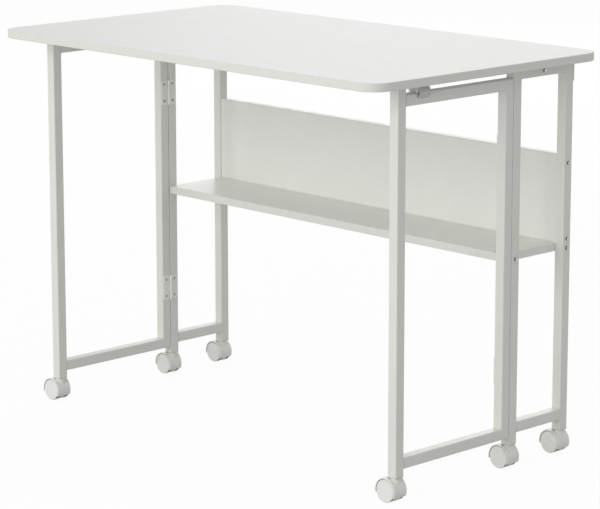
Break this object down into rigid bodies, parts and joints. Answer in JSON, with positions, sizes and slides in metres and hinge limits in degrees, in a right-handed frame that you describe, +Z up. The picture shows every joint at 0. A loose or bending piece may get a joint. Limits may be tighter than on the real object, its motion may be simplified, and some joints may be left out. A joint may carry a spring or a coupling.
{
  "type": "folding desk",
  "caption": "White folding desk on casters: a top that tilts up on rear hinges, hinged gate legs that swing inward, and a slim steel tube frame with a shelf and back panel.",
  "frame": {"origin": "on the floor, under the middle of the top", "axes": "+X to the right of a person at the desk, +Y to the back, +Z up"},
  "size_m": [1, 0.58, 0.7385],
  "materials": {
    "frame_paint": "satin white powder coat",
    "white_laminate": "white melamine on chipboard",
    "bolt_black": "black oxide",
    "fixing_steel": "zinc plated",
    "hinge_steel": "satin white paint on pressed steel",
    "plug_plastic": "moulded",
    "catch_plastic": "moulded",
    "hook_plastic": "moulded",
    "caster_plastic": "moulded",
    "wheel_plastic": "moulded nylon"
  },
  "bodies": {
    "frame": {"left_front_upright": "frame_paint", "left_rear_upright": "frame_paint", "left_top_rail": "frame_paint", "left_bottom_rail": "frame_paint", "right_front_upright": "frame_paint", "right_rear_upright": "frame_paint", "right_top_rail": "frame_paint", "right_bottom_rail": "frame_paint", "top_cross_rail": "frame_paint", "shelf": "white_laminate", "back_panel": "white_laminate", "frame_bolts": "bolt_black", "bolt_inserts": "fixing_steel", "frame_caster_sockets": "plug_plastic", "frame_caster_stems": "fixing_steel", "gate_hinge_frame_leaves": "hinge_steel", "top_hinge_frame_leaves": "hinge_steel", "hinge_pins": "fixing_steel", "frame_hinge_screws": "fixing_steel"},
    "top": {"tabletop": "white_laminate", "top_hinge_top_leaves": "hinge_steel", "gate_catches": "catch_plastic", "catch_hooks": "hook_plastic", "top_screws": "fixing_steel"},
    "left_gate": {"left_gate_front_upright": "frame_paint", "left_gate_hinge_upright": "frame_paint", "left_gate_top_rail": "frame_paint", "left_gate_bottom_rail": "frame_paint", "left_gate_hinge_leaves": "hinge_steel", "left_gate_hinge_screws": "fixing_steel", "left_gate_caster_socket": "plug_plastic", "left_gate_caster_stem": "fixing_steel", "left_gate_top_pad": "plug_plastic"},
    "right_gate": {"right_gate_front_upright": "frame_paint", "right_gate_hinge_upright": "frame_paint", "right_gate_top_rail": "frame_paint", "right_gate_bottom_rail": "frame_paint", "right_gate_hinge_leaves": "hinge_steel", "right_gate_hinge_screws": "fixing_steel", "right_gate_caster_socket": "plug_plastic", "right_gate_caster_stem": "fixing_steel", "right_gate_top_pad": "plug_plastic"},
    "left_gate_caster": {"left_gate_caster_housing": "caster_plastic"},
    "left_gate_wheelset": {"left_gate_caster_wheels": "wheel_plastic", "left_gate_caster_axle": "fixing_steel"},
    "left_front_caster": {"left_front_caster_housing": "caster_plastic"},
    "left_front_wheelset": {"left_front_caster_wheels": "wheel_plastic", "left_front_caster_axle": "fixing_steel"},
    "left_rear_caster": {"left_rear_caster_housing": "caster_plastic"},
    "left_rear_wheelset": {"left_rear_caster_wheels": "wheel_plastic", "left_rear_caster_axle": "fixing_steel"},
    "right_gate_caster": {"right_gate_caster_housing": "caster_plastic"},
    "right_gate_wheelset": {"right_gate_caster_wheels": "wheel_plastic", "right_gate_caster_axle": "fixing_steel"},
    "right_front_caster": {"right_front_caster_housing": "caster_plastic"},
    "right_front_wheelset": {"right_front_caster_wheels": "wheel_plastic", "right_front_caster_axle": "fixing_steel"},
    "right_rear_caster": {"right_rear_caster_housing": "caster_plastic"},
    "right_rear_wheelset": {"right_rear_caster_wheels": "wheel_plastic", "right_rear_caster_axle": "fixing_steel"}
  },
  "joints": [
    {"name": "top_tilt", "type": "hinge", "parent": "frame", "child": "top", "pos_m": [0, 0.2501, 0.7205], "axis": [-1, 0, 0], "range_deg": [0, 90]},
    {"name": "left_gate_swing", "type": "hinge", "parent": "frame", "child": "left_gate", "pos_m": [-0.4455, 0.0872, 0.38], "axis": [0, 0, 1], "range_deg": [0, 90]},
    {"name": "right_gate_swing", "type": "hinge", "parent": "frame", "child": "right_gate", "pos_m": [0.4455, 0.0872, 0.38], "axis": [0, 0, -1], "range_deg": [0, 90]},
    {"name": "left_gate_caster_swivel", "type": "hinge", "parent": "left_gate", "child": "left_gate_caster", "pos_m": [-0.4585, -0.1915, 0.035], "axis": [0, 0, 1], "continuous": true},
    {"name": "left_gate_wheel_roll", "type": "hinge", "parent": "left_gate_caster", "child": "left_gate_wheelset", "pos_m": [-0.4695, -0.1915, 0.0205], "axis": [0, 1, 0], "continuous": true},
    {"name": "left_front_caster_swivel", "type": "hinge", "parent": "frame", "child": "left_front_caster", "pos_m": [-0.4585, 0.0988, 0.035], "axis": [0, 0, 1], "continuous": true},
    {"name": "left_front_wheel_roll", "type": "hinge", "parent": "left_front_caster", "child": "left_front_wheelset", "pos_m": [-0.4695, 0.0988, 0.0205], "axis": [0, 1, 0], "continuous": true},
    {"name": "left_rear_caster_swivel", "type": "hinge", "parent": "frame", "child": "left_rear_caster", "pos_m": [-0.4585, 0.2371, 0.035], "axis": [0, 0, 1], "continuous": true},
    {"name": "left_rear_wheel_roll", "type": "hinge", "parent": "left_rear_caster", "child": "left_rear_wheelset", "pos_m": [-0.4695, 0.2371, 0.0205], "axis": [0, 1, 0], "continuous": true},
    {"name": "right_gate_caster_swivel", "type": "hinge", "parent": "right_gate", "child": "right_gate_caster", "pos_m": [0.4585, -0.1915, 0.035], "axis": [0, 0, 1], "continuous": true},
    {"name": "right_gate_wheel_roll", "type": "hinge", "parent": "right_gate_caster", "child": "right_gate_wheelset", "pos_m": [0.4475, -0.1915, 0.0205], "axis": [0, 1, 0], "continuous": true},
    {"name": "right_front_caster_swivel", "type": "hinge", "parent": "frame", "child": "right_front_caster", "pos_m": [0.4585, 0.0988, 0.035], "axis": [0, 0, 1], "continuous": true},
    {"name": "right_front_wheel_roll", "type": "hinge", "parent": "right_front_caster", "child": "right_front_wheelset", "pos_m": [0.4475, 0.0988, 0.0205], "axis": [0, 1, 0], "continuous": true},
    {"name": "right_rear_caster_swivel", "type": "hinge", "parent": "frame", "child": "right_rear_caster", "pos_m": [0.4585, 0.2371, 0.035], "axis": [0, 0, 1], "continuous": true},
    {"name": "right_rear_wheel_roll", "type": "hinge", "parent": "right_rear_caster", "child": "right_rear_wheelset", "pos_m": [0.4475, 0.2371, 0.0205], "axis": [0, 1, 0], "continuous": true}
  ]
}
